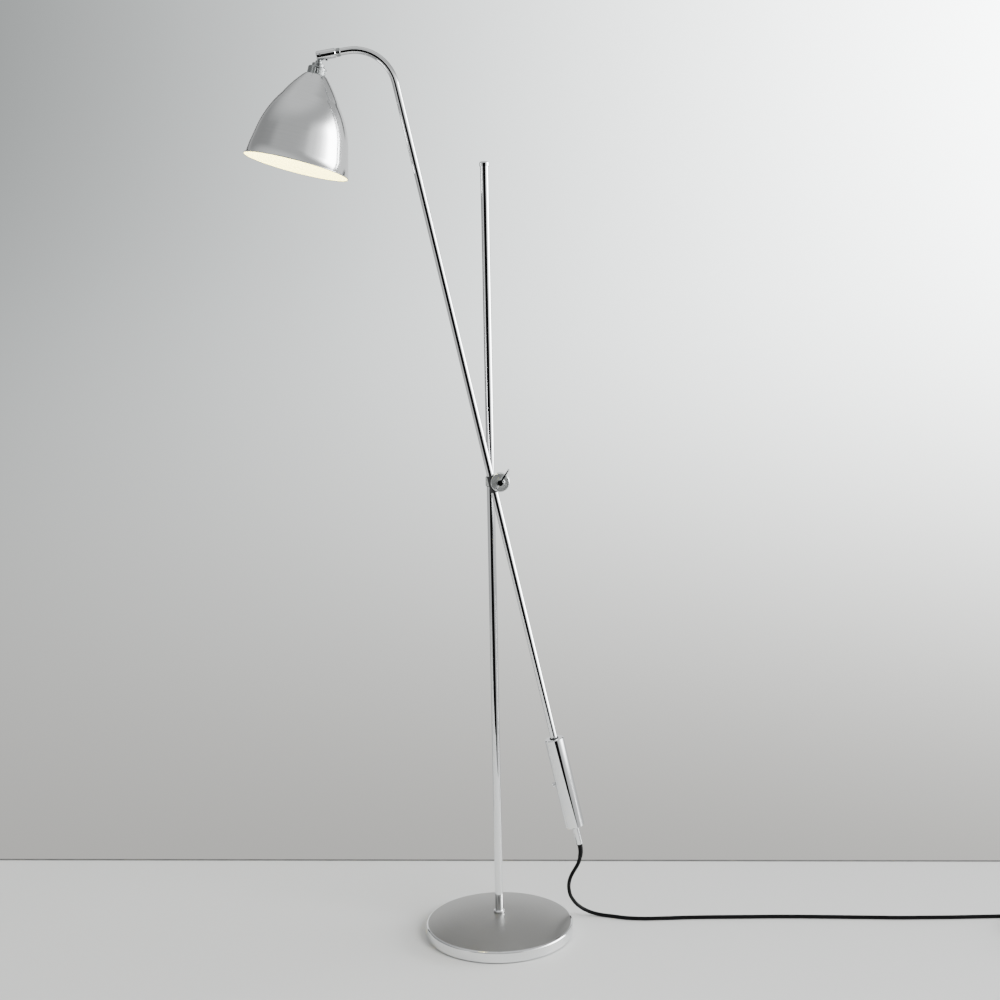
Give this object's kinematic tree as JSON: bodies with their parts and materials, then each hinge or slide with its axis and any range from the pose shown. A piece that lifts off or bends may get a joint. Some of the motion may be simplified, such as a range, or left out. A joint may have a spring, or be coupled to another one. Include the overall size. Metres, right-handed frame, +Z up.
{
  "type": "adjustable arm floor lamp",
  "caption": "Floor lamp with a round weighted base, an upright mast, a sliding swivel clamp, a counterweighted bent arm and a tilting bell shade on a trailing lead.",
  "frame": {"origin": "middle of the base's underside, on the floor", "axes": "+Z up the mast; the arm leans towards -X in a plane in front of the mast, which is the -Y side; the lead trails away along +X"},
  "size_m": [1.2672, 0.2357, 1.3815],
  "materials": {
    "felt": "dense felt",
    "cast_iron": "raw casting",
    "base_satin": "satin top with a polished upright rim",
    "zinc": "plated",
    "chrome": "polished",
    "nylon": "matt",
    "cord_black": "smooth soft sheath",
    "cord_rubber": "moulded",
    "dark_screw": "blackened",
    "holder_plastic": "moulded",
    "ceramic": "glazed ceramic",
    "brass": "plain",
    "shade_metal": "satin outside, warm white enamel inside",
    "bulb_metal": "rolled thread",
    "bulb_glass": "frosted, lit",
    "tie_black": "woven strap",
    "plug_black": "moulded, lightly grained",
    "plug_metal": "plated"
  },
  "bodies": {
    "stand": {"base_pad": "felt", "base_weight": "cast_iron", "base_cover": "base_satin", "base_stud": "zinc", "base_washer": "zinc", "base_nut": "zinc", "foot_collar": "chrome", "mast_insert": "zinc", "mast_tube": "chrome", "mast_cap": "chrome", "cord_floor": "cord_black", "cord_coil": "cord_black", "cord_tail": "cord_black", "cord_tie": "tie_black", "plug_body": "plug_black", "plug_pins": "plug_metal"},
    "slider": {"mast_liner": "nylon"},
    "mast_clamp": {"mast_strap": "chrome", "rear_washer": "chrome", "clamp_bolt": "chrome", "clamp_spacer": "chrome", "front_washer": "chrome"},
    "wing": {"wing_nut": "chrome"},
    "arm_clamp": {"rear_jaw": "chrome", "front_jaw": "chrome"},
    "arm_sleeve": {"arm_liner": "nylon"},
    "arm": {"arm_tube": "chrome", "inner_lead": "cord_black", "arm_spigot": "zinc", "arm_collar": "chrome", "strain_relief": "cord_rubber", "cord_hanging": "cord_black"},
    "weight": {"counterweight": "chrome", "weight_bush": "nylon"},
    "weight_knob": {"weight_screw": "chrome"},
    "barrel": {"swivel_barrel": "chrome", "barrel_screw": "dark_screw", "pivot_pin": "zinc"},
    "head": {"shade_knuckle": "chrome", "neck_ring": "chrome", "holder_cap": "chrome", "cap_nut": "zinc", "holder_body": "holder_plastic", "holder_insert": "ceramic", "thread_shell": "brass", "centre_contact": "brass", "holder_ring": "holder_plastic", "lamp_shade": "shade_metal", "bulb_cap": "bulb_metal", "bulb_glass": "bulb_glass"}
  },
  "joints": [
    {"name": "mast_slide", "type": "slide", "parent": "stand", "child": "slider", "axis": [0, 0, 1], "range_m": [-0.04, 0.35], "deforming": ["cord_hanging"]},
    {"name": "mast_swivel", "type": "hinge", "parent": "slider", "child": "mast_clamp", "pos_m": [0, 0, 0.726], "axis": [0, 0, 1], "range_deg": [-150, 150]},
    {"name": "wing_turn", "type": "hinge", "parent": "mast_clamp", "child": "wing", "pos_m": [0.0148, -0.031, 0.726], "axis": [0, -1, 0], "range_deg": [-90, 180]},
    {"name": "arm_tilt", "type": "hinge", "parent": "mast_clamp", "child": "arm_clamp", "pos_m": [0.0148, -0.022, 0.726], "axis": [0, -1, 0], "range_deg": [-12, 70]},
    {"name": "arm_twist", "type": "hinge", "parent": "arm_clamp", "child": "arm_sleeve", "pos_m": [0.00298, -0.022, 0.7234], "axis": [-0.2147, 0, 0.9767], "range_deg": [-45, 45]},
    {"name": "arm_slide", "type": "slide", "parent": "arm_sleeve", "child": "arm", "axis": [-0.2147, 0, 0.9767], "range_m": [-0.02, 0.12]},
    {"name": "weight_slide", "type": "slide", "parent": "arm", "child": "weight", "axis": [-0.2147, 0, 0.9767], "range_m": [-0.02, 0.1]},
    {"name": "weight_screw_turn", "type": "hinge", "parent": "weight", "child": "weight_knob", "pos_m": [0.10691, -0.022, 0.25069], "axis": [-0.9767, 0, -0.2147], "range_deg": [0, 180]},
    {"name": "barrel_roll", "type": "hinge", "parent": "arm", "child": "barrel", "pos_m": [-0.20054, -0.022, 1.37529], "axis": [-0.9877, 0, -0.1564], "range_deg": [-100, 100]},
    {"name": "shade_tilt", "type": "hinge", "parent": "barrel", "child": "head", "pos_m": [-0.24064, -0.022, 1.36894], "axis": [0, 1, 0], "range_deg": [-22, 55]}
  ]
}
